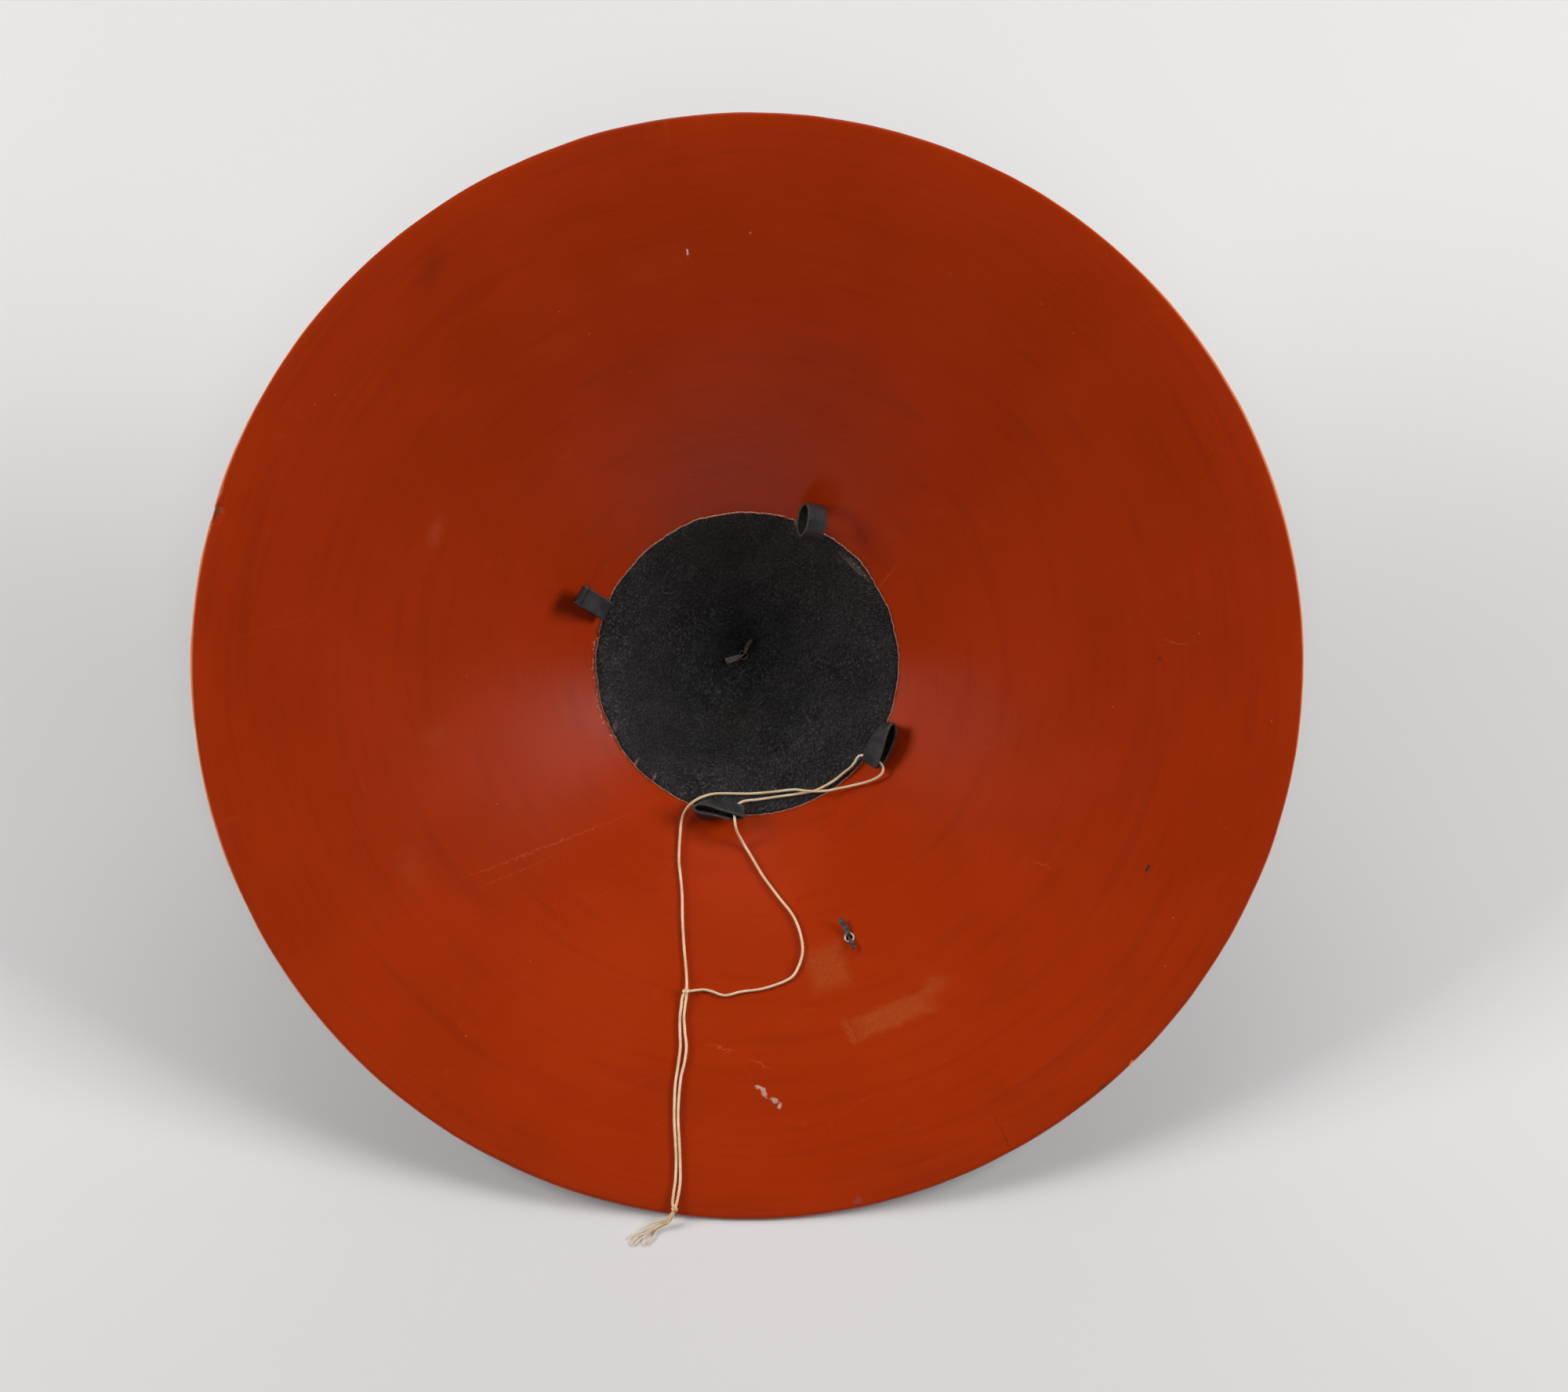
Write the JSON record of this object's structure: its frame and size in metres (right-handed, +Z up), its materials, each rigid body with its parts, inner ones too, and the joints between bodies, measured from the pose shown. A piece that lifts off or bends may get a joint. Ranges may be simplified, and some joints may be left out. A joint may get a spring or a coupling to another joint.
{
  "type": "samurai war hat",
  "caption": "Conical lacquered war hat (jingasa), red inside, with a black leather crown pad, four leather cord loops, two eyelets and a thin cord; lying inside up.",
  "frame": {"origin": "on the floor under the middle of the hat's footprint, the cord left out", "axes": "+Z up from the floor; the hat lies inside up on its crown boss and on the front of its rim, which is at -Y; +X is the wearer's side that is on the right when the inside is seen from the front"},
  "size_m": [0.4506, 0.4006, 0.2247],
  "materials": {
    "lacquer": "vermilion lacquer over hide, satin gloss with fine scratches",
    "black_leather": "black pebbled leather",
    "strap_leather": "black smooth strap leather with worn edges",
    "thong_leather": "dark brown leather thong",
    "dark_metal": "darkened brass",
    "pale_metal": "pale worn metal",
    "cord": "cream twisted cord"
  },
  "bodies": {
    "root": {"shell": "lacquer", "leather_pad": "black_leather", "crown_eyelet": "dark_metal", "crown_thong": "thong_leather", "rear_eyelet": "pale_metal", "rear_thong": "thong_leather", "ring_upper": "strap_leather", "ring_left": "strap_leather", "ring_right": "strap_leather", "ring_lower": "strap_leather", "cord_left_upper": "cord", "cord_right_upper": "cord", "cord_left_lower": "cord", "cord_right_lower": "cord", "knot_upper": "cord", "knot_lower": "cord", "cord_ends": "cord"}
  },
  "joints": []
}
